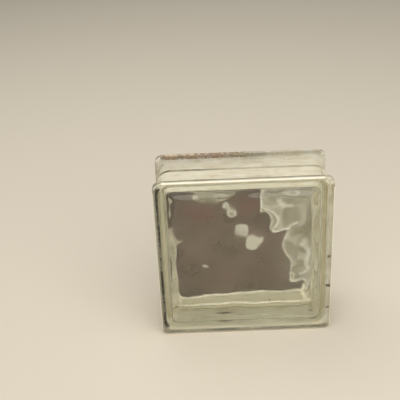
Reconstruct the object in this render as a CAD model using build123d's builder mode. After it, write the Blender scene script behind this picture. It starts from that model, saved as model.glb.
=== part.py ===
"""Hollow glass block for mortared walls: two identical pressed halves fused at mid-depth.

The block stands upright on its rims. Z is up, the front face looks along -Y and the
origin is on the floor under the centre of the block. All lengths are in millimetres.
"""

from build123d import *
from math import atan, cos, degrees, pi, radians, sin
import os

# Outside of the block
block_width = 197.0
block_height = 197.0
block_depth = 79.0

# Rim that frames each face and stands proud of the side walls
rim_depth = 8.0
rim_corner_radius = 8.0
face_edge_radius = 1.6
rim_back_chamfer = 0.9

# Mortar keyway behind each rim, and the fused seam at mid-depth
keyway_depth = 5.8
keyway_root_chamfer = 1.5
seam_drop = 3.0
seam_corner_radius = 15.5
seam_groove = 0.8

# Glass thickness and the plunger that presses the cavity
face_thickness = 8.0
seam_wall = 6.5
plunger_draft = 5.0
plunger_corner_radius = 9.0
plunger_edge_radius = 2.5
seam_bead = 0.8

# Rippled field on the inside of each face, sunk into the glass within a plain margin. Two trains
# of bent waves cross in it, and they swell from the bottom of the block to its top
ripple_margin = 5.0
ripple_step = 0.3
ripple_height = 0.75
ripple_swell = 0.65
ripple_length = 38.0
cross_ripple_length = 46.0
ripple_lean = 24.0
cross_ripple_start = 63.0
ripple_bend = 0.85
bend_length = 54.0
cross_bend_length = 67.0
bend_start = 34.0
ripple_point_spacing = 6.0
ripple_fit = 0.02

half_depth = block_depth / 2
press_depth = half_depth - face_thickness
wall_taper = degrees(atan((keyway_depth - seam_drop) / (half_depth - rim_depth)))

# Planes across the front half. They look out of its face, and their offset is from the seam
seam_plane = Plane(
    origin=(0, 0, block_height / 2), x_dir=(1, 0, 0), z_dir=(0, -1, 0)
)
rim_back_plane = seam_plane.offset(half_depth - rim_depth)
floor_plane = seam_plane.offset(press_depth)


# What the plunger leaves: drafted walls, a rounded edge and the rippled field at its end
seam_width = block_width - 2 * (seam_drop + seam_wall)
seam_height = block_height - 2 * (seam_drop + seam_wall)
with BuildPart() as cavity:
    with BuildSketch(seam_plane):
        RectangleRounded(seam_width, seam_height, plunger_corner_radius)
    extrude(amount=press_depth)
    draft(cavity.faces().filter_by(Plane.XZ, reverse=True), seam_plane, plunger_draft)
    floor = cavity.faces().sort_by(Axis.Y)[0]
    mouth = cavity.faces().sort_by(Axis.Y)[-1]
    field_width = floor.bounding_box().size.X - 2 * (plunger_edge_radius + ripple_margin)
    field_height = floor.bounding_box().size.Z - 2 * (plunger_edge_radius + ripple_margin)
    fillet(floor.edges(), plunger_edge_radius)
    chamfer(mouth.edges(), seam_bead)



def turns(distance, wave_length, start=0):
    """The angle that a wave has reached after a distance, from its start in degrees."""
    return 2 * pi * distance / wave_length + radians(start)


def ripple(across, up):
    """How far the ripples stand above (+) or below (-) their middle level at one place."""
    lean = radians(ripple_lean)
    along = across * cos(lean) + up * sin(lean)
    over = up * cos(lean) - across * sin(lean)
    bend = ripple_bend * sin(turns(over, bend_length, bend_start))
    cross_bend = ripple_bend * sin(turns(along, cross_bend_length))
    wave = sin(turns(along, ripple_length) + bend)
    cross_wave = sin(turns(over, cross_ripple_length, cross_ripple_start) + cross_bend)
    swell = 1 + ripple_swell * sin(pi * up / field_height)
    return ripple_height * swell * (wave + cross_wave) / 2


def stations(span):
    """Evenly spaced places along a span centred on zero, a little past both its ends."""
    steps = round(span / ripple_point_spacing) + 2
    return [(i - steps / 2) * ripple_point_spacing for i in range(steps + 1)]


# The field is cut out of a slab that starts inside the cavity and ends past the deepest ripple
ripple_middle = ripple_step + ripple_height * (1 + ripple_swell)
field_overlap = ripple_middle
field_stock = field_overlap + 2 * ripple_middle
ripple_surface = Face.make_surface_from_array_of_points(
    [
        [
            floor_plane.from_local_coords((x, y, ripple_middle + ripple(x, y)))
            for x in stations(field_width)
        ]
        for y in stations(field_height)
    ],
    tol=ripple_fit,
)
with BuildPart() as rippled_field:
    with BuildSketch(floor_plane.offset(-field_overlap)):
        RectangleRounded(field_width, field_height, plunger_corner_radius)
    extrude(amount=field_stock)
    extrude(ripple_surface, amount=field_stock, dir=(0, 1, 0), mode=Mode.INTERSECT)

# One pressed half: rim, set-back side walls and the cavity
with BuildPart() as pressing:
    with BuildSketch(seam_plane):
        RectangleRounded(
            block_width - 2 * seam_drop, block_height - 2 * seam_drop, seam_corner_radius
        )
    extrude(amount=half_depth - rim_depth)
    draft(pressing.faces().filter_by(Plane.XZ, reverse=True), seam_plane, wall_taper)
    chamfer(pressing.faces().sort_by(Axis.Y)[-1].edges(), seam_groove)
    with BuildSketch(rim_back_plane):
        RectangleRounded(block_width, block_height, rim_corner_radius)
    extrude(amount=rim_depth)
    rim_front = pressing.faces().sort_by(Axis.Y)[0]
    rim_back = pressing.faces().filter_by(Plane.XZ).sort_by(Axis.Y)[1]
    fillet(rim_front.edges(), face_edge_radius)
    chamfer(rim_back.outer_wire().edges(), rim_back_chamfer)
    keyway_root = pressing.faces().filter_by(Plane.XZ).sort_by(Axis.Y)[1].inner_wires()
    chamfer(keyway_root.edges(), keyway_root_chamfer)
    add(cavity.part, mode=Mode.SUBTRACT)
    add(rippled_field.part, mode=Mode.SUBTRACT)

# The same pressing twice, rim to rim, fused into one hollow block
with BuildPart() as glass_block:
    add(pressing.part)
    add(pressing.part.rotate(Axis.Z, 180))

glass_block.part.label = "glass_block"

os.makedirs("parts", exist_ok=True)
export_step(glass_block.part, "parts/glass_block.step")
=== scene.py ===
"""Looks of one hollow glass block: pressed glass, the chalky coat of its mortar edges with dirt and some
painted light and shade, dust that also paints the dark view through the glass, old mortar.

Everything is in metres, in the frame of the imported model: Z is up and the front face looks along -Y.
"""

import math

import bpy
import numpy as np
from mathutils import Euler, Matrix, Vector


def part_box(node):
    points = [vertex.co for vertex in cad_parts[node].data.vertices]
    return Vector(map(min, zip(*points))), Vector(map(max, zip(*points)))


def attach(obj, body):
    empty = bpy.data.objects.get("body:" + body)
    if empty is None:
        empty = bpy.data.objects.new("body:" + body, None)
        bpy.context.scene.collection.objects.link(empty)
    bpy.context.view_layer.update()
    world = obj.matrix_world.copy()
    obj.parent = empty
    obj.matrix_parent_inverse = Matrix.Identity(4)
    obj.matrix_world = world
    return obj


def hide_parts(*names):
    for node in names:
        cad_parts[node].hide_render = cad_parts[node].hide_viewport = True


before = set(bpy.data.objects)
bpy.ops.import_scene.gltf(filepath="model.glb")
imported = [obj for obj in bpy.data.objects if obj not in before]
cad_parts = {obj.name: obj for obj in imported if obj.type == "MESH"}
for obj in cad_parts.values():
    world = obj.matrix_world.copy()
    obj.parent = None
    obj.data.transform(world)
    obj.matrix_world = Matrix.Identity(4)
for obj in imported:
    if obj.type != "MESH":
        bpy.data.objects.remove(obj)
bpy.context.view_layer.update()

mm = 0.001

# The block's outside, from the frame
block_low, block_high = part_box("glass_block")
half_width = (block_high.x - block_low.x) / 2
half_height = (block_high.z - block_low.z) / 2
half_depth = (block_high.y - block_low.y) / 2
middle_height = (block_high.z + block_low.z) / 2

# Rims and set-back walls, as they are in the solid
rim_depth = 8.0 * mm
rim_corner = 8.0 * mm
keyway_depth = 5.8 * mm
seam_drop = 3.0 * mm
seam_corner = 15.5 * mm
seam_groove = 0.8 * mm
rim_back = half_depth - rim_depth

# Roundings that the mould and the fire leave
face_edge_round = 1.6 * mm
rim_back_round = 1.1 * mm
keyway_round = 2.2 * mm
groove_round = 0.5 * mm

# Cavity
face_thickness = 8.0 * mm
seam_wall = 6.5 * mm
plunger_draft = math.radians(5.0)
plunger_corner = 9.0 * mm
plunger_round = 2.5 * mm
seam_bead = 0.8 * mm
press_depth = half_depth - face_thickness

# Ripples on the inside of both faces, as they are in the solid
ripple_margin = 5.0 * mm
ripple_step = 0.3 * mm
ripple_height = 0.75 * mm
ripple_swell = 0.65
ripple_length = 38.0 * mm
cross_ripple_length = 46.0 * mm
ripple_lean = 24.0
cross_ripple_start = 63.0
ripple_bend = 0.85
bend_length = 54.0 * mm
cross_bend_length = 67.0 * mm
bend_start = 34.0
ripple_fade = 9.0 * mm

# Coating of the mortar edges: a thin skin that is bonded a little way into the glass, and that ends on the
# rounding of the face edge, just before the flat face
coat_thickness = 0.15 * mm
coat_bond = 0.05 * mm
coat_end = 0.05 * mm

# Unevenness of the hand-fused seam
seam_waver = 0.6 * mm
seam_waves = 70 * mm

# Veil of dust, which also paints the dark view through the glass, on the inside of the back face and up the
# walls beside it, a hair off the glass
veil_gap = 0.08 * mm
veil_thickness = 0.05 * mm
veil_climb = 30 * mm

# Cloudy sheet where the halves are fused: half its thickness, and how far it stays off the glass's skin
seam_sheet = 0.03 * mm
seam_sheet_margin = 0.3 * mm

# Old mortar on the top of the rear rim: thin scale, with chips that stand off it at the left
crust_start, crust_end = -91 * mm, 30 * mm
chips_end = -58 * mm
chip_rise = 1.0 * mm
scale_rise = 0.35 * mm
crust_sunk = 0.04 * mm
crust_bed = 0.1 * mm

# Fineness of the meshes. A profile has one more station a little past each rounding, to hold its edge
side_steps = 112
corner_steps = 5
arc_steps = 5
hold = 0.12 * mm
coat_step = 2.0 * mm
veil_step = 2.0 * mm
crust_step = 0.6 * mm


# Measures and unevenness

def turns(distance, wave_length, start=0):
    """The angle that a wave has reached after a distance, from its start in degrees."""
    return 2 * math.pi * distance / wave_length + math.radians(start)


def grow(start, full, values):
    """0 up to the start, 1 from where it is full, and an even change between the two, either way round."""
    share = np.clip((values - start) / (full - start), 0, 1)
    return share * share * (3 - 2 * share)


def drift(points, wave, seed):
    """A smooth unevenness between -1 and 1 at each point, with waves of about that length."""
    wave_count, shortest, longest = 6, 0.7, 1.6
    rng = np.random.default_rng(seed)
    total = np.zeros(len(points))
    for _ in range(wave_count):
        direction = rng.normal(size=3)
        length = wave * rng.uniform(shortest, longest)
        direction *= 2 * math.pi / length / np.linalg.norm(direction)
        total += np.sin(points @ direction + rng.uniform(0, 2 * math.pi))
    return total / wave_count


def ripple(across, up):
    """How far the ripples stand above (+) or below (-) their middle level at one place."""
    lean = math.radians(ripple_lean)
    along = across * math.cos(lean) + up * math.sin(lean)
    over = up * math.cos(lean) - across * math.sin(lean)
    bend = ripple_bend * np.sin(turns(over, bend_length, bend_start))
    cross_bend = ripple_bend * np.sin(turns(along, cross_bend_length))
    wave = np.sin(turns(along, ripple_length) + bend)
    cross_wave = np.sin(turns(over, cross_ripple_length, cross_ripple_start) + cross_bend)
    swell = 1 + ripple_swell * np.sin(math.pi * np.clip(up / field_height, -0.5, 0.5))
    return ripple_height * swell * (wave + cross_wave) / 2


def edge_distance(points, out, radius):
    """How far inside a rounded outline the points lie."""
    across = np.abs(points[..., 0]) - (half_width + out - radius)
    up = np.abs(points[..., 2] - middle_height) - (half_height + out - radius)
    outside = np.hypot(np.maximum(across, 0), np.maximum(up, 0))
    return radius - outside - np.minimum(np.maximum(across, up), 0)


def wavered(points):
    """The points with the seam's waver: strongest at the seam, nothing at the rims."""
    share = np.clip(1 - np.abs(points[:, 1]) / rim_back, 0, 1)
    moved = points.copy()
    moved[:, 1] += seam_waver * share * drift(points, seam_waves, 3)
    return moved


# Profiles: stations of (out, depth, loop corner radius) from the seam to a face

def rounded_profile(corners):
    """Stations along a profile of (out, depth, loop corner radius, rounding), with its corners rounded."""
    corners = [np.array(c, float) for c in corners]
    stations = [corners[0][:3]]
    for before, here, after in zip(corners, corners[1:], corners[2:]):
        to_before = before[:2] - here[:2]
        to_after = after[:2] - here[:2]
        length_before, length_after = np.linalg.norm(to_before), np.linalg.norm(to_after)
        to_before, to_after = to_before / length_before, to_after / length_after
        half_angle = math.acos(np.clip(to_before @ to_after, -1, 1)) / 2
        reach = here[3] / math.tan(half_angle)
        middle = (to_before + to_after) / np.linalg.norm(to_before + to_after)
        centre = here[:2] + middle * here[3] / math.sin(half_angle)
        loop_start = here[2] + (before[2] - here[2]) * reach / length_before
        loop_end = here[2] + (after[2] - here[2]) * reach / length_after
        first = here[:2] + to_before * reach - centre
        last = here[:2] + to_after * reach - centre
        sweep = math.pi - 2 * half_angle
        stations.append(np.append(here[:2] + to_before * (reach + hold), loop_start))
        for step in range(arc_steps + 1):
            share = step / arc_steps
            turned = first * math.sin((1 - share) * sweep) + last * math.sin(share * sweep)
            loop = loop_start + (loop_end - loop_start) * share
            stations.append(np.append(centre + turned / math.sin(sweep), loop))
        stations.append(np.append(here[:2] + to_after * (reach + hold), loop_end))
    stations.append(corners[-1][:3])
    return np.array(stations)


def finer(stations, step):
    """The same profile with more stations where two are further apart than the step."""
    fine = [stations[0]]
    for before, here in zip(stations, stations[1:]):
        parts = max(1, math.ceil(np.linalg.norm(here[:2] - before[:2]) / step))
        fine += [before + (here - before) * part / parts for part in range(1, parts + 1)]
    return np.array(fine)


def shifted(stations, distance):
    """The profile moved sideways, out of the glass where the distance is positive."""
    along = np.gradient(stations[:, :2], axis=0)
    along /= np.linalg.norm(along, axis=1)[:, None]
    moved = stations.copy()
    moved[:, 0] += along[:, 1] * distance
    moved[:, 1] -= along[:, 0] * distance
    moved[:, 2] += along[:, 1] * distance
    return moved


# Outside profile of one half
wall_slope = (keyway_depth - seam_drop) / rim_back
wall_loop = seam_corner + seam_drop
outer_profile = rounded_profile([
    (-seam_drop - seam_groove, 0, wall_loop - seam_drop - seam_groove, 0),
    (-seam_drop - seam_groove * wall_slope, seam_groove, wall_loop - seam_drop, groove_round),
    (-keyway_depth, rim_back, wall_loop - keyway_depth, keyway_round),
    (0, rim_back, rim_corner, rim_back_round),
    (0, half_depth, rim_corner, face_edge_round),
    (-face_edge_round - 2 * hold, half_depth, rim_corner - face_edge_round - 2 * hold, 0),
])

# Inside profile of one half, which ends on the flat that the plunger's end starts from
cavity_out = -seam_drop - seam_wall
cavity_slope = math.tan(plunger_draft)
floor_out = cavity_out - press_depth * cavity_slope
floor_corner = plunger_corner + floor_out - cavity_out
inner_profile = rounded_profile([
    (cavity_out - seam_bead, 0, plunger_corner - seam_bead, 0),
    (cavity_out - seam_bead * cavity_slope, seam_bead, plunger_corner, groove_round),
    (floor_out, press_depth, floor_corner, plunger_round),
    (floor_out - plunger_round - 2 * hold, press_depth, floor_corner - plunger_round - 2 * hold, 0),
])
face_out, face_corner = inner_profile[-1][[0, 2]]
field_height = 2 * (half_height + floor_out - plunger_round - ripple_margin)


# Meshes made of loops round the block, with a patch over each end

def loop_points(out, depth, radius):
    """One closed loop of points round the block, anticlockwise seen from the front, from a corner."""
    tangents = np.array([(1, 0), (0, 1), (-1, 0), (0, -1)], float)
    outwards = np.array([(0, -1), (1, 0), (0, 1), (-1, 0)], float)
    reaches = [(half_width, half_height), (half_height, half_width)] * 2
    points = []
    steps = np.arange(side_steps)
    start_angle = (np.minimum(steps, corner_steps) / corner_steps - 1) * math.pi / 4
    end_angle = np.maximum(steps - side_steps + corner_steps, 0) / corner_steps * math.pi / 4
    share = np.clip((steps - corner_steps) / (side_steps - 2 * corner_steps), 0, 1)
    for tangent, outward, (reach_along, reach_out) in zip(tangents, outwards, reaches):
        straight = reach_along + out - radius
        along = -straight + 2 * straight * share + radius * (np.sin(start_angle) + np.sin(end_angle))
        away = reach_out + out - radius + radius * np.cos(start_angle) * np.cos(end_angle)
        points.append(along[:, None] * tangent + away[:, None] * outward)
    flat = np.concatenate(points)
    return np.column_stack([flat[:, 0], np.full(len(flat), depth), flat[:, 1] + middle_height])


def both_halves(stations):
    """Loops of a profile from the front face, over the seam, to the back face."""
    front = [loop_points(out, -depth, radius) for out, depth, radius in stations[::-1]]
    back = [loop_points(out, depth, radius) for out, depth, radius in stations[1:]]
    return front + back


def tube_faces(loop_count, closed=False):
    """Quads between loops that follow each other, facing away from the block's middle line."""
    count = 4 * side_steps
    starts = [i * count for i in range(loop_count)]
    pairs = list(zip(starts, starts[1:]))
    if closed:
        pairs.append((starts[-1], starts[0]))
    here = np.arange(count)
    after = (here + 1) % count
    return np.concatenate([
        np.column_stack([a + here, b + here, b + after, a + after]) for a, b in pairs
    ])


def patch_points(loop):
    """A grid of points that fills a loop, with the loop's own points along its edge."""
    n = side_steps
    ring = np.concatenate([loop, loop[:1]])
    bottom, right = ring[0:n + 1], ring[n:2 * n + 1]
    top, left = ring[2 * n:3 * n + 1][::-1], ring[3 * n:4 * n + 1][::-1]
    u = np.linspace(0, 1, n + 1)[:, None, None]
    v = np.linspace(0, 1, n + 1)[None, :, None]
    across = (1 - v) * bottom[:, None] + v * top[:, None]
    upward = (1 - u) * left[None, :] + u * right[None, :]
    low_corners = (1 - u) * (1 - v) * bottom[0] + u * (1 - v) * bottom[-1]
    high_corners = (1 - u) * v * top[0] + u * v * top[-1]
    return across + upward - low_corners - high_corners


def patch_numbers(loop_start, inner_start):
    """Vertex numbers of a patch's grid: the loop's along the edge, new ones inside."""
    n = side_steps
    numbers = np.zeros((n + 1, n + 1), int)
    numbers[1:n, 1:n] = inner_start + np.arange((n - 1) ** 2).reshape(n - 1, n - 1)
    steps = np.arange(n)
    numbers[steps, 0] = loop_start + steps
    numbers[n, steps] = loop_start + n + steps
    numbers[n - steps, n] = loop_start + 2 * n + steps
    numbers[0, n - steps] = loop_start + 3 * n + steps
    return numbers


def patch_faces(numbers):
    """Quads of a patch, facing the front."""
    corners = (numbers[:-1, :-1], numbers[1:, :-1], numbers[1:, 1:], numbers[:-1, 1:])
    return np.column_stack([corner.ravel() for corner in corners])


def flat_end(grid, side):
    """The outside of a face, or the veil laid out flat: the patch as it is."""
    return grid


def rippled_end(grid, side):
    """The plunger's end: ripples that die away towards the cavity's edge."""
    inside = edge_distance(grid, face_out, face_corner)
    across, up = -side * grid[..., 0], grid[..., 2] - middle_height
    ripple_middle = ripple_step + ripple_height * (1 + ripple_swell)
    shaped = grid.copy()
    shaped[..., 1] += side * grow(0, ripple_fade, inside) * (ripple_middle + ripple(across, up))
    return shaped


def rippled_back(grid, side):
    """The back face's rippled end, for both sides of the veil."""
    return rippled_end(grid, 1)


def closed_shell(loops, shape_end):
    """Points and quads of a closed shell: loops from front to back, and a patch at both ends."""
    points = np.concatenate(loops)
    last_start = len(points) - len(loops[-1])
    faces = [tube_faces(len(loops))]
    inner = slice(1, side_steps)
    for loop, start, side in ((loops[0], 0, -1), (loops[-1], last_start, 1)):
        grid = shape_end(patch_points(loop), side)
        numbers = patch_numbers(start, len(points))
        points = np.concatenate([points, grid[inner, inner].reshape(-1, 3)])
        quads = patch_faces(numbers)
        faces.append(quads if side < 0 else quads[:, ::-1])
    return points, np.concatenate(faces)


def new_piece(name, points, faces):
    """A smooth mesh object from points and quads."""
    mesh = bpy.data.meshes.new(name)
    mesh.from_pydata(points.tolist(), [], faces.tolist())
    mesh.shade_smooth()
    mesh.update()
    piece = bpy.data.objects.new(name, mesh)
    bpy.context.scene.collection.objects.link(piece)
    return piece


def mark(piece, name, values):
    """Stores a value at each point of a piece, for its finish to read."""
    layer = piece.data.attributes.new(name, "FLOAT", "POINT")
    layer.data.foreach_set("value", np.clip(values, 0, 1).ravel())


# Glass: it lies under its coating by the coating's thickness, which goes down to nothing over the rounding
# of the face edge
bare_share = np.clip((half_depth - outer_profile[:, 1]) / face_edge_round, 0, 1)
glass_outer = shifted(outer_profile, -coat_thickness * bare_share)
outer_points, outer_faces = closed_shell(both_halves(glass_outer), flat_end)
inner_points, inner_faces = closed_shell(both_halves(inner_profile), rippled_end)
glass_points = wavered(np.concatenate([outer_points, inner_points]))
glass_faces = np.concatenate([outer_faces, inner_faces[:, ::-1] + len(outer_points)])
glass = new_piece("pressed_glass", glass_points, glass_faces)


# Coating: its outer side is the solid's own surface, its inner side lies in the glass

coated = outer_profile[:, 1] < half_depth - coat_end
skin_profile = finer(outer_profile[coated], coat_step)
skin_out = np.array(both_halves(skin_profile))
skin_share = np.clip((half_depth - skin_profile[:, 1]) / face_edge_round, 0, 1)
skin_in = np.array(both_halves(shifted(skin_profile, -coat_thickness * skin_share - coat_bond)))
skin_loops = np.concatenate([skin_out, skin_in[::-1]])
coat = new_piece(
    "edge_coating", wavered(skin_loops.reshape(-1, 3)), tube_faces(len(skin_loops), closed=True)
)


def skin_drift(wave, seed):
    """An unevenness between -1 and 1 over the coating, with waves of about that length."""
    return drift(skin_out.reshape(-1, 3), wave, seed).reshape(skin_out.shape[:2])


# Where each of its points is: how far from the seam, below the rims, before the face and before the back
# of the rim, above the block's middle, to the side of it and from the nearest corner. Leftward goes from 0
# at the right to 1 at the left
skin_depth = np.abs(skin_out[..., 1])
skin_drop = np.abs(np.concatenate([skin_profile[::-1], skin_profile[1:]])[:, :1])
to_face = half_depth - skin_depth
to_rim = rim_back - skin_depth
skin_up = skin_out[..., 2] - middle_height
sideways = np.abs(skin_out[..., 0])
from_corner = np.maximum(half_width - sideways, half_height - np.abs(skin_up))
leftward = 0.5 - skin_out[..., 0] / (2 * half_width)

# Which part of the block it is on, with soft borders. What is soft has a start and a place where it is full
soft_border = (-2 * mm, 2 * mm)
rim_drop = (2.5 * mm, 1.0 * mm)
rear = skin_out[..., 1] > 0
front = ~rear
on_top = grow(*soft_border, skin_up - sideways)
under = grow(*soft_border, -skin_up - sideways)
on_left = grow(*soft_border, -skin_out[..., 0] - np.abs(skin_up))
on_rim = grow(*rim_drop, skin_drop) * np.ones_like(skin_depth)

# Unevenness of the dirt and of the brush
dirt_waves = 30 * mm
brush_waves = 24 * mm
patches = skin_drift(dirt_waves, 5)
brushing = skin_drift(brush_waves, 7)

# Wear: the coat is rubbed off the corners of the rims and thinned at the walls' ends, less so low down.
# Where the brush left off, it ends in a wavering line on the rounding of the face edge
corner_wear, rear_corner_wear = 11 * mm, 7 * mm
wear_waver = 3 * mm
wall_wear = (16 * mm, 8 * mm)
wall_rubbed_off = 0.65
spared_low_down = 30 * mm
low_down = (20 * mm, -20 * mm)
brush_edge = -0.8 * mm
brush_waver = 0.5 * mm
brush_fade = 0.8 * mm

from_wear = from_corner + spared_low_down * grow(*low_down, skin_up)
worn_to = np.where(rear, rear_corner_wear, corner_wear)
round_the_edge = to_face - skin_drop + face_edge_round
brushed = grow(0, brush_fade, round_the_edge - brush_edge - (1 + brushing) * brush_waver)
rim_cover = grow(*soft_border, from_wear + wear_waver * brushing - worn_to) * brushed
wall_cover = 1 - wall_rubbed_off * grow(*wall_wear, from_wear)
cover = np.where(on_rim > 0.5, rim_cover, wall_cover)

# Dirt on the coat: in the seam's groove and on the flank of the rear rim. Along the back edges of the rims
# it is dirt with a painted shadow line, and the top lands are darker at their back, mostly at the left.
# There is more of it on the left and on the top
more_on_left = (0.5, 0.8)
off_top_share = 0.35
patch_share = 0.25
seam_dirt_width = (2.4 * mm, 0.9 * mm)
seam_dirt_share, seam_dirt_on_left = 0.4, 0.45
edge_dirt_and_shade_drop = (1.6 * mm, 0.9 * mm)
edge_dirt_and_shade_reach, rear_edge_dirt_and_shade_reach = 3.4 * mm, 2.2 * mm
edge_dirt_and_shade_fade = 1.3 * mm
edge_dirt_and_shade_share, edge_dirt_and_shade_on_left, rear_edge_share = 0.75, 0.25, 0.6
flank_width = (3 * mm, 0.5 * mm)
flank_drop = (0.4 * mm, 1.2 * mm)
rear_flank_drop = (4.2 * mm, 3.0 * mm)
rear_flank_share = 0.15
land_darkening_on_left = (0.6, 0.85)
land_darkening_reach = 3.5 * mm
land_darkening_fade = 1.5 * mm
land_darkening_share = 0.35

more_left = grow(*more_on_left, leftward)
seam_dirt = grow(*seam_dirt_width, skin_depth) * (seam_dirt_share + seam_dirt_on_left * more_left)
# Along the back edges of the rims: dirt and a painted shadow line behind each rim, lighter on the rear one
edge_reach = np.where(rear, rear_edge_dirt_and_shade_reach, edge_dirt_and_shade_reach)
edge_dirt_and_shade = grow(*edge_dirt_and_shade_drop, skin_drop) * grow(0, edge_dirt_and_shade_fade, to_rim + edge_reach)
edge_dirt_and_shade = edge_dirt_and_shade * (edge_dirt_and_shade_share + edge_dirt_and_shade_on_left * more_left)
edge_dirt_and_shade = edge_dirt_and_shade * np.where(rear, rear_edge_share, 1)
flank_soil = grow(*flank_width, to_rim) * grow(*flank_drop, skin_drop)
rear_flank_dirt = rear_flank_share * flank_soil * grow(*rear_flank_drop, skin_drop) * rear
patchy_dirt = np.maximum(seam_dirt, rear_flank_dirt)
dirt_and_shade = np.maximum(patchy_dirt, edge_dirt_and_shade) + patch_share * patches * patchy_dirt
dirt_and_shade = dirt_and_shade * (off_top_share + (1 - off_top_share) * on_top)
# Darker at the back of the top lands, mostly at the left
land_reach = land_darkening_reach * grow(*land_darkening_on_left, leftward)
land_darkening = land_darkening_share * grow(0, land_darkening_fade, to_rim + land_reach) * on_rim * on_top
dirt_and_shade = np.maximum(dirt_and_shade, land_darkening)

# Dirt that is deep in the chalk, so that it shows from inside too: a line down the flank of the left front
# rim, and streaks; and painted shade along the rear part of the bottom front land, at the block's bottom
# edge. Each streak is given by its middle (across, depth, up) and its half lengths the same way, in
# millimetres
flank_line_outer, flank_line_inner = (2.2 * mm, 2.8 * mm), (5.6 * mm, 5.0 * mm)
left_flank_share = 0.35
low_land_drop = (3.0 * mm, 2.0 * mm)
low_land_back, low_land_front = (1 * mm, 0), (-3.5 * mm, -2.5 * mm)
low_land_share = 0.6
dirt_streaks = [
    ((-25, -11, 3), (13, 3.2, 6)), ((81, -13, 3), (7, 3, 6)), ((31, 12, 4), (1.2, 2.5, 6)),
    ((95, -33, 96), (6, 2.5, 2.5)), ((95, -34, 80), (6, 2, 2)), ((95, -32, 57), (6, 2.5, 2)),
    ((95, -34, 40), (6, 2, 2.5)), ((95, -33, 27), (6, 2.5, 2)),
]
streak_edge = (1.0, 0.5)
seen_inside = 0.05

flank_line = flank_soil * grow(*flank_line_outer, skin_drop) * grow(*flank_line_inner, skin_drop)
deep_dirt_and_shade = np.maximum(flank_line, left_flank_share * flank_soil) * on_left * front
# The rear part of the bottom front land is painted shade along the block's bottom edge
low_land = grow(*low_land_drop, skin_drop) * grow(*low_land_back, to_rim) * grow(*low_land_front, to_rim)
deep_dirt_and_shade = np.maximum(deep_dirt_and_shade, low_land_share * low_land * under * front)
for middle, reach in dirt_streaks:
    away = (skin_out - np.array(middle) * mm) / (np.array(reach) * mm)
    deep_dirt_and_shade = np.maximum(deep_dirt_and_shade, grow(*streak_edge, np.linalg.norm(away, axis=-1)))
outer_dirt_and_shade = np.maximum(dirt_and_shade, deep_dirt_and_shade)
inner_dirt_and_shade = np.maximum(seen_inside * dirt_and_shade, deep_dirt_and_shade)

# Thick lime, paler and less see-through than the thin coat, and partly painted light: underneath it lies on
# the rims, in a run beside the seam, behind that run and near the front face, where it brightens the coat
# that gets little light.
# On the top it lies on the flank of the front rim, where it lifts the shade of the keyway's corner, and it
# goes all round along the front edge, where it is also a painted highlight of that edge
seam_run_place, seam_run_waver, seam_run_waves = 6.5 * mm, 2.5 * mm, 45 * mm
seam_run_half = (3.4 * mm, 2.2 * mm)
behind_the_run = (-2 * mm, 4 * mm)
wall_brightening_share, rear_wall_brightening_share = 0.2, 0.75
front_wall_brightening = (16 * mm, 13 * mm)
top_flank_brightening = 0.5
edge_lime_highlight_width, edge_lime_highlight_waver, edge_lime_highlight_waves = 2.6 * mm, 1.2 * mm, 38 * mm
edge_lime_highlight_fade = (0.6 * mm, -0.6 * mm)
edge_lime_highlight_share = 0.85

past_run = skin_out[..., 1] - seam_run_place - seam_run_waver * skin_drift(seam_run_waves, 9)
seam_run = grow(*seam_run_half, np.abs(past_run))
wall_brightening = wall_brightening_share + rear_wall_brightening_share * grow(*behind_the_run, past_run)
edge_lime_highlight_reach = edge_lime_highlight_width + edge_lime_highlight_waver * skin_drift(edge_lime_highlight_waves, 19)
# Underneath, the thick lime brightens the coat where little light falls: painted light
thick_and_brightened = under * np.maximum(np.maximum(wall_brightening, seam_run), on_rim)
thick_and_brightened = np.maximum(thick_and_brightened, under * front * grow(*front_wall_brightening, to_face))
# On the top front flank it lifts the shade of the keyway's corner: painted light
thick_and_brightened = np.maximum(thick_and_brightened, top_flank_brightening * flank_soil * on_top * front)
# Along the front edge it is also a painted highlight of that edge
thick_and_brightened = np.maximum(thick_and_brightened, edge_lime_highlight_share * grow(*edge_lime_highlight_fade, to_face - edge_lime_highlight_reach) * front)

# The inner side carries the same marks as the outer one, and only its dirt and painted shade differ. The run
# is how far a point is along its side from the middle, for the strokes of the brush
run = np.minimum(sideways, np.abs(skin_up))
mark(coat, "run", np.concatenate([run, run[::-1]]))
mark(coat, "cover", np.concatenate([cover, cover[::-1]]))
mark(coat, "thick_and_brightened", np.concatenate([thick_and_brightened, thick_and_brightened[::-1]]))
mark(coat, "dirt_and_shade", np.concatenate([outer_dirt_and_shade, inner_dirt_and_shade[::-1]]))


# Veil of dust, which also paints the dark view through the glass: a thin closed shell over the back face and
# up the walls

def veil_loops(distance):
    """Loops of the veil at a distance off the glass, from the walls to the back face."""
    return [loop_points(*station) for station in shifted(veil_profile, -distance)]


veil_profile = finer(inner_profile, veil_step)
step_lengths = np.linalg.norm(np.diff(veil_profile[:, :2], axis=0), axis=1)
climbs = np.append(np.cumsum(step_lengths[::-1])[::-1], 0)
veil_profile, climbs = veil_profile[climbs < veil_climb], climbs[climbs < veil_climb]
veil_near = veil_loops(veil_gap + veil_thickness)[::-1]
veil_points, veil_faces = closed_shell(veil_near + veil_loops(veil_gap), rippled_back)
veil = new_piece("dust_and_view_veil", wavered(veil_points), veil_faces)

# The same loops laid out flat, so that a place on a wall is as far from the face's edge as it is round
# the corner
flat_loops = [loop_points(face_out + climb, 0, face_corner + climb) for climb in climbs]
veil_flat, _ = closed_shell(flat_loops[::-1] + flat_loops, flat_end)
veil_places = veil_flat[:, [0, 2]] / mm
veil_across, veil_up = veil_places.T
up_wall = -edge_distance(veil_flat, face_out, face_corner)

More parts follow.
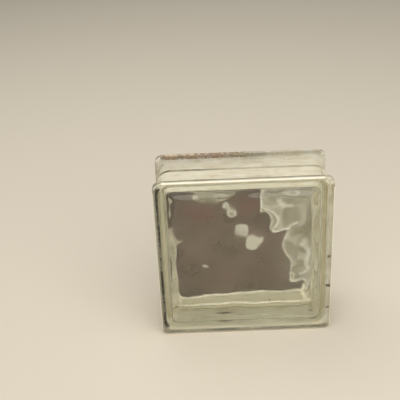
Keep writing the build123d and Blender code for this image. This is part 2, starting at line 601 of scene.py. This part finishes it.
# Where the dust and the painted dark view lie, laid out flat, as places of (across, up) in millimetres: its
# outline, and the clear spots in it, which are painted glints. The centre of one spot still holds some, and
# the faint spots and the reddish patches are leaning ovals of (across, up, half width, half height, lean in
# degrees)
dust_and_view_outline = [
    (-98, 190), (-82, 200), (-66, 198), (-60, 172), (-54, 153), (-48, 138), (-40, 132), (-24, 132),
    (-10, 144), (-2, 158), (3, 196), (22, 196), (24, 138), (21, 110), (27, 113), (34, 112), (27, 104),
    (29, 98), (37, 93), (49, 95), (58, 100), (55, 86), (50, 70), (49, 61), (56, 55), (57, 43), (57, 19),
    (66, 17), (78, 25), (78, 12), (58, 11), (20, 8), (-11, 10), (-41, 9), (-60, 5), (-73, 5), (-87, 14),
    (-100, 38), (-104, 58), (-99, 72), (-84, 80), (-79, 87), (-69, 90), (-77, 94), (-87, 98), (-83, 104),
    (-98, 112), (-108, 120), (-112, 135), (-110, 146), (-100, 156),
]
clear_spots = [
    [(-24, 130), (-22, 132), (-13, 134), (-9, 132), (-12, 130), (-20, 129)],
    [(-3, 129), (-3, 126), (-7, 122), (-11, 120), (-15, 121), (-17, 125), (-15, 130), (-9, 132), (-5, 132)],
    [(-7, 103), (2, 107), (13, 104), (14, 94), (11, 86), (-2, 86), (-13, 86), (-12, 91)],
    [(9, 87), (18, 89), (21, 91), (22, 85), (21, 80), (20, 75), (14, 73), (7, 75), (5, 81)],
    [(-43, 46), (-47, 46), (-51, 49), (-53, 53), (-50, 54), (-45, 50)],
]
spot_centre = (-9.5, 126.5, 2.6, 2.2, 0)
faint_spots = [
    (-8, 52, 2.2, 1.3, 30), (-34, 17, 2.6, 1.2, 20), (-7, 15, 2.6, 1.0, 0), (16, 36, 1.3, 2.4, 15),
]
reddish_patches = [(8, 132, 10, 10, 0), (-50, 123, 16, 6, 4)]

# Bent lines where the film beside the dust is thinner, which paint pale swirls seen through the glass, and
# pale lime lines in two lower corners, which are painted highlights
clear_swirls = [
    [(26, 141), (23, 122), (22, 110)],
    [(27, 121), (33, 119), (41, 116), (47, 113), (44, 108), (36, 102), (34, 96), (49, 96), (58, 101)],
    [(58, 102), (60, 108), (63, 109)],
    [(74, 75), (78, 73), (82, 69), (83, 65), (81, 57), (80, 47), (82, 40), (84, 40), (79, 34), (73, 31)],
    [(45, 137), (49, 130), (54, 125), (59, 122)],
    [(58, 34), (65, 30), (63, 22)],
]
corner_lime_highlights = [[(76, 17), (72, 9), (73, 0), (78, -12)], [(-88, 12), (-83, 3), (-77, -4)]]


def rounded_outline(corners, rounds=2, cut=0.25):
    """The closed outline with its corners cut again and again, which rounds them."""
    ring = np.array(corners, float)
    for _ in range(rounds):
        after = np.roll(ring, -1, axis=0)
        ring = np.stack([(1 - cut) * ring + cut * after, cut * ring + (1 - cut) * after], 1).reshape(-1, 2)
    return ring


def line_distance(places, corners):
    """How far each place lies from a bent line."""
    corners = np.array(corners, float)
    nearest = np.full(len(places), np.inf)
    for start, end in zip(corners, corners[1:]):
        along = end - start
        share = np.clip((places - start) @ along / (along @ along), 0, 1)
        nearest = np.minimum(nearest, np.linalg.norm(places - start - share[:, None] * along, axis=1))
    return nearest


def inside_outline(places, corners):
    """How far each place lies inside a closed outline with rounded corners, negative outside it."""
    ring = rounded_outline(corners)
    closed = np.append(ring, ring[:1], axis=0)
    crossings = np.zeros(len(places), int)
    for start, end in zip(closed, closed[1:]):
        across, rise = end - start
        spans = (start[1] > places[:, 1]) != (end[1] > places[:, 1])
        crossings += spans & (places[:, 0] < start[0] + (places[:, 1] - start[1]) / (rise or 1) * across)
    return np.where(crossings % 2 == 1, 1, -1) * line_distance(places, closed)


def outside_oval(places, across, up, half_wide, half_high, lean):
    """How far each place lies outside a leaning oval, negative inside it."""
    turn = math.radians(lean)
    away = places - (across, up)
    along = (away[:, 0] * math.cos(turn) + away[:, 1] * math.sin(turn)) / half_wide
    over = (away[:, 1] * math.cos(turn) - away[:, 0] * math.sin(turn)) / half_high
    return (np.hypot(along, over) - 1) * min(half_wide, half_high)


# Above and below the face, between the diagonals from its corners, in millimetres
above = veil_up - middle_height / mm - np.abs(veil_across)
below = middle_height / mm - veil_up - np.abs(veil_across)
soft_diagonal = (-20, 20)
left_part = (20, -10)
leftmost = grow(*left_part, veil_across)

# Olive film, which also paints the paler view through the glass: thinner right beside the dust and in the
# swirls, and thicker on the left and half-way up the right. It reaches some way up the walls, furthest at
# the top, where it is full at the upper left
film_and_view_clear, film_and_view_full = 1.5, 5.5
film_and_view_beside, film_and_view_beside_left = 0.5, 0.9
film_and_view_in_swirl = 0.3
swirl_width = (0.4, 2.8)
film_and_view_reach, film_and_view_reach_above, film_and_view_reach_below = 9 * mm, 23 * mm, -6 * mm
film_and_view_end = (1, 0.3)
film_and_view_share_right, film_and_view_share_more = 0.66, 0.2
more_from, more_to, more_right = (40, 100), (136, 120), (40, 60)
top_film_and_view, top_film_and_view_from = 1.2, (156, 161)

dust_and_view_inside = inside_outline(veil_places, dust_and_view_outline)
beside_dust_and_view = film_and_view_beside + (film_and_view_beside_left - film_and_view_beside) * leftmost
film_and_view = beside_dust_and_view + (1 - beside_dust_and_view) * grow(film_and_view_clear, film_and_view_full, -dust_and_view_inside)
for swirl in clear_swirls:
    beside = grow(*swirl_width, line_distance(veil_places, swirl))
    film_and_view = film_and_view * (film_and_view_in_swirl + (1 - film_and_view_in_swirl) * beside)
reach_up = film_and_view_reach + film_and_view_reach_above * grow(*soft_diagonal, above)
reach_up = reach_up + film_and_view_reach_below * grow(*soft_diagonal, below)
more_film_and_view = grow(*more_from, veil_up) * grow(*more_to, veil_up) * grow(*more_right, veil_across)
film_and_view_share = film_and_view_share_right + (1 - film_and_view_share_right) * leftmost + film_and_view_share_more * more_film_and_view
film_and_view = film_and_view * grow(*film_and_view_end, up_wall / reach_up) * film_and_view_share
film_and_view = np.maximum(film_and_view, top_film_and_view * grow(*top_film_and_view_from, veil_up) * leftmost)

# Dust and painted dark view: full inside its outline, and cleared in the spots, the painted glints, where
# the film goes with it
dust_and_view_fade = 1.1
left_in_spots, film_and_view_left_in_spots = 0.14, 0.3
left_in_centre = 0.4
left_in_faint = 0.75

dust_and_view = grow(-dust_and_view_fade, dust_and_view_fade, dust_and_view_inside)
# The clear spots are painted glints of pale things seen in the glass
for spot in clear_spots:
    in_spot = grow(-dust_and_view_fade, dust_and_view_fade, inside_outline(veil_places, spot))
    dust_and_view = dust_and_view * (1 - (1 - left_in_spots) * in_spot)
    film_and_view = film_and_view * (1 - (1 - film_and_view_left_in_spots) * in_spot)
for spot in faint_spots:
    in_spot = grow(dust_and_view_fade, -dust_and_view_fade, outside_oval(veil_places, *spot))
    dust_and_view = dust_and_view * (1 - (1 - left_in_faint) * in_spot)
in_centre = grow(dust_and_view_fade, -dust_and_view_fade, outside_oval(veil_places, *spot_centre))
mark(veil, "dust_and_view", np.maximum(dust_and_view, left_in_centre * in_centre))
mark(veil, "film_and_view", film_and_view)

# Reddish in places, and thinner in patches towards the lower edge
reddish_edge = (7.0, -7.0)
thinner_in, thinner_below = (18, 0), (90, 40)
thinner_waves, thinner_middle, thinner_waver = 26 * mm, 0.6, 0.5

reddish = np.zeros(len(veil_places))
for spot in reddish_patches:
    reddish = np.maximum(reddish, grow(*reddish_edge, outside_oval(veil_places, *spot)))
thinner_patches = np.clip(thinner_middle + thinner_waver * drift(veil_flat, thinner_waves, 17), 0, 1)
mark(veil, "reddish", reddish)
mark(veil, "thinner", grow(*thinner_in, dust_and_view_inside) * grow(*thinner_below, veil_up) * thinner_patches)

# Pale lines of lime that are painted highlights: along the dust's lower edge, more to the left of it, in a
# thinner one on the bottom wall a little behind the seam, and in the corners
lime_highlight_place, lime_highlight_full = 2.0, 0.6
lime_highlight_half, lime_highlight_waver, lime_highlight_waves = 2.6, 0.8, 14 * mm
lime_highlight_below, lime_highlight_slope = (60, 10), 0.3
low_line_place, low_line_waver, low_line_waves = 26.2, 1.8, 40 * mm
low_line_half, low_line_below, low_line_share = (2.0, 0.8), (-10, 10), 0.85
corner_lime_highlight_half, corner_lime_highlight_share = (2.8, 0.6), 0.8

lime_highlight_start = lime_highlight_half + lime_highlight_waver * drift(veil_flat, lime_highlight_waves, 15)
lime_highlight = grow(lime_highlight_start, lime_highlight_full, np.abs(dust_and_view_inside + lime_highlight_place))
lime_highlight = lime_highlight * grow(*lime_highlight_below, veil_up + lime_highlight_slope * veil_across)
# A painted highlight on the bottom wall, a little behind the seam
line_place = low_line_place + low_line_waver * drift(veil_flat, low_line_waves, 21)
low_line = grow(*low_line_half, np.abs(up_wall / mm - line_place)) * grow(*low_line_below, below)
lime_highlight = np.maximum(lime_highlight, low_line_share * low_line)
# Painted highlights in two lower corners
for line in corner_lime_highlights:
    in_corner = grow(*corner_lime_highlight_half, line_distance(veil_places, line))
    lime_highlight = np.maximum(lime_highlight, corner_lime_highlight_share * in_corner)
mark(veil, "lime_highlight", lime_highlight)


# Fused seam: a cloudy sheet inside the glass, from the cavity to the outside

sheet_out = -seam_drop - seam_groove - seam_sheet_margin
sheet_in = cavity_out - seam_bead + seam_sheet_margin
seam_loops = [
    loop_points(out, depth, wall_loop + out)
    for out, depth in (
        (sheet_out, -seam_sheet), (sheet_in, -seam_sheet), (sheet_in, seam_sheet), (sheet_out, seam_sheet)
    )
]
seam = new_piece(
    "fused_seam", wavered(np.concatenate(seam_loops)), tube_faces(len(seam_loops), closed=True)[:, ::-1]
)


# Old mortar: a grid along the top of the rear rim, raised in lumps that are highest at the rear on the left

rim_outer_part = -4 * mm
crust_off_face = 0.4 * mm
lump_waves = ((0.9, 11 * mm, 11), (0.7, 4.5 * mm, 12), (0.5, 2 * mm, 13))
crust_start_fade = 6 * mm
chips_fade = 10 * mm
chips_rearward = (0.35, 0.7)
crust_level, chips_level, ends_level = 0.25, 0.2, 1.2


def closed_sheet(name, near, far):
    """A thin closed piece between two grids of points, the near one facing out."""
    count = near.shape[0] * near.shape[1]
    numbers = np.arange(count).reshape(near.shape[:2])
    border = np.concatenate([numbers[:-1, 0], numbers[-1, :-1], numbers[:0:-1, -1], numbers[0, :0:-1]])
    after = np.roll(border, -1)
    return new_piece(
        name,
        np.concatenate([near.reshape(-1, 3), far.reshape(-1, 3)]),
        np.concatenate([
            patch_faces(numbers),
            patch_faces(numbers)[:, ::-1] + count,
            np.column_stack([border, border + count, after + count, after]),
        ]),
    )


def crust_surface(height):
    """The grid of points at a height off the rim."""
    out = crust_profile[crust_over, 0] + slope[crust_over, 1] * height
    depth = crust_profile[crust_over, 1] - slope[crust_over, 0] * height
    return np.stack([crust_along, depth, out + half_height + middle_height], axis=-1)


on_rear_rim = (outer_profile[:, 1] > rim_back - hold) & (outer_profile[:, 0] > rim_outer_part)
on_rear_rim &= outer_profile[:, 1] < half_depth - crust_off_face
crust_profile = finer(outer_profile[on_rear_rim], crust_step)
slope = np.gradient(crust_profile[:, :2], axis=0)
slope /= np.linalg.norm(slope, axis=1)[:, None]
crust_places = np.arange(crust_start, crust_end, crust_step)
crust_along, crust_over = np.meshgrid(crust_places, np.arange(len(crust_profile)), indexing="ij")
crust_spots = np.stack(
    [crust_along, crust_profile[crust_over, 1], crust_profile[crust_over, 0]], axis=-1
).reshape(-1, 3)
lumps = sum(
    share * drift(crust_spots, wave, seed) for share, wave, seed in lump_waves
).reshape(crust_along.shape)
rearward = grow(*chips_rearward, crust_over / (len(crust_profile) - 1))
chipped = grow(chips_end + chips_fade, chips_end, crust_along) * rearward
between_ends = grow(crust_start, crust_start + crust_start_fade, crust_along)
between_ends = between_ends * grow(crust_end, 0, crust_along)
level = lumps + crust_level + chips_level * chipped - ends_level * (1 - between_ends)
rise = np.sqrt(np.clip(level, 0, 1)) * (scale_rise + (chip_rise - scale_rise) * chipped)
crust = closed_sheet("mortar_crust", crust_surface(rise - crust_sunk), crust_surface(0 * rise - crust_bed))
chip_share = np.clip(rise / chip_rise, 0, 1)
mark(crust, "chips", np.concatenate([chip_share, 0 * chip_share]))


# Finishes. The patterns' sizes are the real ones

coat_clouds = 18 * mm
coat_grain = 4 * mm
brush_width = 2.5 * mm
brush_stroke = 40 * mm
dust_and_view_clouds = 35 * mm
wisp_length = 22 * mm
mortar_grain = 3 * mm
mortar_bumps = 0.4 * mm

# How much of the light goes through the coat where it is thin and where it is thick, how much of the pattern
# of the dirt and painted shade is grain and not strokes, and how much of the lime lines, which are painted
# highlights, covers
thin_glow, thick_glow = 0.77, 0.2
grain_in_dirt_and_shade = 0.35
lime_highlight_cover = 0.92


def linear(hex_colour):
    """An sRGB hex colour as linear RGBA."""
    parts = [int(hex_colour[i:i + 2], 16) / 255 for i in (1, 3, 5)]
    return [c / 12.92 if c <= 0.04045 else ((c + 0.055) / 1.055) ** 2.4 for c in parts] + [1.0]


def add_node(material, kind, links=(), values=(), **settings):
    """Adds a node with its properties, its links {socket: (from node, output)} and its socket values."""
    new = material.node_tree.nodes.new(kind)
    for name, value in settings.items():
        setattr(new, name, value)
    for socket, value in dict(values).items():
        new.inputs[socket].default_value = value
    for socket, (source, output) in dict(links).items():
        material.node_tree.links.new(source.outputs[output], new.inputs[socket])
    return new


def math_node(material, operation, links, values=(), **settings):
    """A node that reckons with numbers."""
    return add_node(material, "ShaderNodeMath", links, values, operation=operation, **settings)


def noise(material, place, wave, **values):
    """Noise with waves of a real length."""
    return add_node(material, "ShaderNodeTexNoise", {"Vector": place}, {"Scale": 1 / wave, **values})


def stretched(material, source, span, new_span):
    """A value whose one span is stretched to another, and which stays within that."""
    values = {"From Min": span[0], "From Max": span[1], "To Min": new_span[0], "To Max": new_span[1]}
    return add_node(material, "ShaderNodeMapRange", {"Value": source}, values)


def tinted(material, share, colour, hex_colour):
    """A colour that turns into another one by a share."""
    links = {0: share, 6: colour}
    return add_node(material, "ShaderNodeMix", links, {7: linear(hex_colour)}, data_type="RGBA")


def colour_ramp(material, source, *stops):
    """A ramp of (position, hex colour) stops."""
    ramp = add_node(material, "ShaderNodeValToRGB", {"Fac": source})
    while len(ramp.color_ramp.elements) < len(stops):
        ramp.color_ramp.elements.new(0.5)
    for element, (position, hex_colour) in zip(ramp.color_ramp.elements, stops):
        element.position, element.color = position, linear(hex_colour)
    return ramp


def new_material(name):
    """An empty material of nodes."""
    material = bpy.data.materials.new(name)
    material.use_nodes = True
    material.node_tree.nodes.clear()
    return material


def pressed_soda_lime_glass():
    """Clear soda-lime glass from an iron mould: faintly green in the thick, bright where it bends light."""
    material = new_material("pressed_soda_lime_glass")
    body = add_node(
        material, "ShaderNodeBsdfPrincipled",
        values={"Base Color": linear("#fdfffc"), "Roughness": 0.02, "IOR": 1.52, "Transmission Weight": 1.0},
    )
    depth = add_node(
        material, "ShaderNodeVolumeAbsorption", values={"Color": linear("#dbeada"), "Density": 5.0},
    )
    add_node(material, "ShaderNodeOutputMaterial", {"Surface": (body, "BSDF"), "Volume": (depth, "Volume")})
    return material


def chalky_edge_coating():
    """Brushed-on latex and lime wash: chalky cream, thin enough to glow, worn through at the corners; its
    dirt carries painted shade and its thick lime painted light.
    """
    material = new_material("chalky_edge_coating")
    place = add_node(material, "ShaderNodeTexCoord")
    clouds = noise(material, (place, "Object"), coat_clouds, Detail=6.0, Roughness=0.6)
    grain = noise(material, (place, "Object"), coat_grain, Detail=3.0, Roughness=0.6)
    share_of_grain = math_node(material, "MULTIPLY", {0: (grain, "Fac")}, {1: grain_in_dirt_and_shade})
    axes = add_node(material, "ShaderNodeSeparateXYZ", {"Vector": (place, "Object")})
    run = add_node(material, "ShaderNodeAttribute", attribute_name="run")
    lengthwise = math_node(material, "MULTIPLY", {0: (run, "Fac")}, {1: brush_width / brush_stroke})
    side = math_node(material, "ADD", {0: (axes, "X"), 1: (axes, "Z")})
    side_step = math_node(material, "MULTIPLY", {0: (side, "Value")}, {1: brush_width / brush_stroke})
    stroke_place = add_node(
        material, "ShaderNodeCombineXYZ",
        {"X": (lengthwise, "Value"), "Y": (axes, "Y"), "Z": (side_step, "Value")},
    )
    strokes = noise(material, (stroke_place, "Vector"), brush_width, Detail=4.0, Roughness=0.65)
    mottle = math_node(material, "ADD", {0: (clouds, "Fac"), 1: (strokes, "Fac")})
    half_mottle = math_node(material, "MULTIPLY", {0: (mottle, "Value")}, {1: 0.5})
    colour = colour_ramp(
        material, (half_mottle, "Value"), (0.38, "#e6e0d2"), (0.47, "#f4f1e8"), (0.6, "#fdfcf7"),
    )
    dirt_and_shade = add_node(material, "ShaderNodeAttribute", attribute_name="dirt_and_shade")
    dirt_and_shade_noise = math_node(
        material, "MULTIPLY_ADD", {0: (strokes, "Fac"), 2: (share_of_grain, "Value")},
        {1: 1 - grain_in_dirt_and_shade},
    )
    dirt_and_shade_grain = stretched(material, (dirt_and_shade_noise, "Value"), (0.35, 0.57), (0.35, 1.15))
    broken_dirt_and_shade = math_node(
        material, "MULTIPLY", {0: (dirt_and_shade, "Fac"), 1: (dirt_and_shade_grain, "Result")}, use_clamp=True,
    )
    thick_and_brightened = add_node(material, "ShaderNodeAttribute", attribute_name="thick_and_brightened")
    # The thick lime is paler, which is partly painted light
    limed_and_brightened = tinted(material, (thick_and_brightened, "Fac"), (colour, "Color"), "#fdf8e8")
    # The dark colour is dirt, and painted shade along the rims' back edges and the bottom edge
    soiled_and_shaded = tinted(material, (broken_dirt_and_shade, "Value"), (limed_and_brightened, 2), "#5f5840")
    chalk = add_node(material, "ShaderNodeBsdfPrincipled", {"Base Color": (soiled_and_shaded, 2)}, {"Roughness": 0.85})
    glow = add_node(material, "ShaderNodeBsdfTranslucent", {"Color": (soiled_and_shaded, 2)})
    glow_share = stretched(material, (thick_and_brightened, "Fac"), (0.0, 1.0), (thin_glow, thick_glow))
    thin = add_node(
        material, "ShaderNodeMixShader",
        {0: (glow_share, "Result"), 1: (chalk, "BSDF"), 2: (glow, "BSDF")},
    )
    cover = add_node(material, "ShaderNodeAttribute", attribute_name="cover")
    ragged = math_node(material, "ADD", {0: (clouds, "Fac"), 1: (cover, "Fac")})
    left_on = stretched(material, (ragged, "Value"), (0.6, 0.95), (0.0, 1.0))
    bare = add_node(material, "ShaderNodeBsdfTransparent")
    worn = add_node(
        material, "ShaderNodeMixShader", {0: (left_on, "Result"), 1: (bare, "BSDF"), 2: (thin, "Shader")},
    )
    add_node(material, "ShaderNodeOutputMaterial", {"Surface": (worn, "Shader")})
    return material


def cloudy_seam():
    """Glass fused rim to rim in the press: cloudy with small bubbles and soot."""
    material = new_material("cloudy_seam")
    cloud_colour = linear("#dfd6bc")
    clear = add_node(material, "ShaderNodeBsdfTransparent")
    cloud = add_node(material, "ShaderNodeBsdfTranslucent", values={"Color": cloud_colour})
    bright = add_node(material, "ShaderNodeBsdfDiffuse", values={"Color": cloud_colour})
    milky = add_node(material, "ShaderNodeMixShader", {1: (cloud, "BSDF"), 2: (bright, "BSDF")}, {0: 0.5})
    surface = add_node(material, "ShaderNodeMixShader", {1: (clear, "BSDF"), 2: (milky, "Shader")}, {0: 0.4})
    add_node(material, "ShaderNodeOutputMaterial", {"Surface": (surface, "Shader")})
    return material


def dust_and_painted_view():
    """Fine grey-brown dust that dried on the glass and also paints the dark view through it, with an olive
    film beside it that paints the paler view, and pale lines of lime that are painted highlights.
    """
    material = new_material("dust_and_painted_view")
    place = add_node(material, "ShaderNodeTexCoord")
    clouds = noise(material, (place, "Object"), dust_and_view_clouds, Detail=3.0, Roughness=0.55)
    wisps = noise(material, (place, "Object"), wisp_length, Detail=0.0, Distortion=1.5)
    # The dust's browns also paint the dark view through the glass
    dust_and_view_colours = colour_ramp(
        material, (clouds, "Fac"), (0.25, "#66462f"), (0.5, "#5a442f"), (0.75, "#52432f"),
    )
    reddish = add_node(material, "ShaderNodeAttribute", attribute_name="reddish")
    reddened = tinted(material, (reddish, "Fac"), (dust_and_view_colours, "Color"), "#683322")
    thinner = add_node(material, "ShaderNodeAttribute", attribute_name="thinner")
    dark = tinted(material, (thinner, "Fac"), (reddened, 2), "#60533b")
    laid = stretched(material, (clouds, "Fac"), (0.2, 0.8), (0.6, 0.92))
    dense = math_node(material, "MULTIPLY_ADD", {0: (thinner, "Fac"), 2: (laid, "Result")}, {1: -0.14})
    thin = stretched(material, (wisps, "Fac"), (0.3, 0.7), (0.38, 0.76))
    dust_and_view = add_node(material, "ShaderNodeAttribute", attribute_name="dust_and_view")
    film_and_view = add_node(material, "ShaderNodeAttribute", attribute_name="film_and_view")
    # The olive film also paints the paler view through the glass
    haze = math_node(material, "MULTIPLY", {0: (film_and_view, "Fac"), 1: (thin, "Result")})
    cover = add_node(
        material, "ShaderNodeMix", {0: (dust_and_view, "Fac"), 2: (haze, "Value"), 3: (dense, "Value")},
    )
    colour = add_node(
        material, "ShaderNodeMix", {0: (dust_and_view, "Fac"), 7: (dark, 2)}, {6: linear("#827a56")},
        data_type="RGBA",
    )
    body = add_node(
        material, "ShaderNodeBsdfPrincipled", {"Alpha": (cover, 0), "Base Color": (colour, 2)},
        {"Roughness": 0.9},
    )
    # The pale lime lines are painted highlights
    lime_highlight_colour = linear("#fffbf0")
    lime_highlight = add_node(material, "ShaderNodeAttribute", attribute_name="lime_highlight")
    pale = add_node(material, "ShaderNodeBsdfDiffuse", values={"Color": lime_highlight_colour})
    lit_through = add_node(material, "ShaderNodeBsdfTranslucent", values={"Color": lime_highlight_colour})
    line = add_node(
        material, "ShaderNodeMixShader", {1: (pale, "BSDF"), 2: (lit_through, "BSDF")}, {0: 0.12},
    )
    line_share = math_node(material, "MULTIPLY", {0: (lime_highlight, "Fac")}, {1: lime_highlight_cover})
    surface = add_node(
        material, "ShaderNodeMixShader",
        {0: (line_share, "Value"), 1: (body, "BSDF"), 2: (line, "Shader")},
    )
    add_node(material, "ShaderNodeOutputMaterial", {"Surface": (surface, "Shader")})
    return material


def lime_mortar():
    """Old lime mortar: pinkish-white where it chipped, brick-brown and then grey where it is thin."""
    material = new_material("lime_mortar")
    place = add_node(material, "ShaderNodeTexCoord")
    grains = noise(material, (place, "Object"), mortar_grain, Detail=5.0, Roughness=0.7)
    axes = add_node(material, "ShaderNodeSeparateXYZ", {"Vector": (place, "Object")})
    rightwards = stretched(material, (axes, "X"), (chips_end, crust_end), (0.0, 1.0))
    thin_scale = colour_ramp(
        material, (rightwards, "Result"), (0.0, "#8a7963"), (0.3, "#846f5d"), (0.8, "#87816b"),
    )
    chips = add_node(material, "ShaderNodeAttribute", attribute_name="chips")
    paler = math_node(material, "ADD", {0: (chips, "Fac"), 1: (grains, "Fac")})
    pale_share = stretched(material, (paler, "Value"), (0.85, 1.25), (0.0, 1.0))
    colour = tinted(material, (pale_share, "Result"), (thin_scale, "Color"), "#bdb099")
    bumps = add_node(material, "ShaderNodeBump", {"Height": (grains, "Fac")}, {"Distance": mortar_bumps})
    body = add_node(
        material, "ShaderNodeBsdfPrincipled", {"Base Color": (colour, 2), "Normal": (bumps, "Normal")},
        {"Roughness": 0.95},
    )
    add_node(material, "ShaderNodeOutputMaterial", {"Surface": (body, "BSDF")})
    return material


glass.data.materials.append(pressed_soda_lime_glass())
coat.data.materials.append(chalky_edge_coating())
veil.data.materials.append(dust_and_painted_view())
crust.data.materials.append(lime_mortar())
seam.data.materials.append(cloudy_seam())
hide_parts("glass_block")
for piece in (glass, coat, veil, crust, seam):
    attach(piece, "root")


# Floor, light and camera

floor_half = 4.0
floor_drop = 0.1 * mm
lamp_aim = Vector((0, 0, 0.1))


def pale_floor():
    """A plain pale studio floor."""
    material = new_material("pale_floor")
    body = add_node(
        material, "ShaderNodeBsdfPrincipled", values={"Base Color": linear("#cbc4b6"), "Roughness": 0.8},
    )
    add_node(material, "ShaderNodeOutputMaterial", {"Surface": (body, "BSDF")})
    return material


def softbox(name, place, size, power):
    """A square studio light that faces the block."""
    lamp = bpy.data.lights.new(name, "AREA")
    lamp.size = size
    lamp.energy = power
    lamp.color = linear("#fffaf3")[:3]
    light = bpy.data.objects.new(name, lamp)
    light.location = place
    light.rotation_euler = (lamp_aim - Vector(place)).to_track_quat("-Z", "Y").to_euler()
    bpy.context.scene.collection.objects.link(light)


floor_mesh = bpy.data.meshes.new("floor")
floor_mesh.from_pydata(
    [(x, y, -floor_drop) for x, y in ((-1, -1), (1, -1), (1, 1), (-1, 1))], [], [(0, 1, 2, 3)]
)
floor = bpy.data.objects.new("floor", floor_mesh)
floor.scale = (floor_half, floor_half, 1)
floor.data.materials.append(pale_floor())
bpy.context.scene.collection.objects.link(floor)

softbox("front_softbox", place=(0.35, -1.2, 1.55), size=2.6, power=46)
softbox("ceiling_softbox", place=(-0.35, 0.45, 1.85), size=1.6, power=18)

# The pale background shows in view, in reflections and through the glass. The block is lit by a dimmer one
world = bpy.data.worlds.new("studio")
world.use_nodes = True
world.node_tree.nodes.clear()
fill = add_node(world, "ShaderNodeBackground", values={"Color": linear("#f3f2ee"), "Strength": 0.3})
backdrop = add_node(world, "ShaderNodeBackground", values={"Color": linear("#d6d0c4"), "Strength": 1.0})
path = add_node(world, "ShaderNodeLightPath")
in_view = math_node(world, "MAXIMUM", {0: (path, "Is Camera Ray"), 1: (path, "Is Glossy Ray")})
in_glass = math_node(world, "MAXIMUM", {0: (in_view, "Value"), 1: (path, "Is Transmission Ray")})
seen = add_node(
    world, "ShaderNodeMixShader",
    {0: (in_glass, "Value"), 1: (fill, "Background"), 2: (backdrop, "Background")},
)
add_node(world, "ShaderNodeOutputWorld", {"Surface": (seen, "Shader")})

camera = bpy.data.objects.new("camera", bpy.data.cameras.new("camera"))
camera_pitch, camera_yaw, camera_roll = (math.radians(a) for a in (27.03, -0.84, -2.66))
camera_turn = Euler((math.pi / 2 - camera_pitch, 0, -camera_yaw)).to_matrix()
camera.rotation_euler = (camera_turn @ Matrix.Rotation(camera_roll, 3, "Z")).to_euler()
camera.location = (-0.036, -0.7975, 0.563)
camera.data.lens = 70.9
bpy.context.scene.collection.objects.link(camera)

# Light has to get through two faces, the veil and the coat, so it may bounce often
scene = bpy.context.scene
scene.camera = camera
scene.world = world
scene.view_settings.view_transform = "Standard"
scene.cycles.max_bounces = 32
scene.cycles.transmission_bounces = 28
scene.cycles.transparent_max_bounces = 24
scene.cycles.diffuse_bounces = 12
scene.cycles.blur_glossy = 0.0
scene.cycles.caustics_refractive = True
scene.cycles.caustics_reflective = True
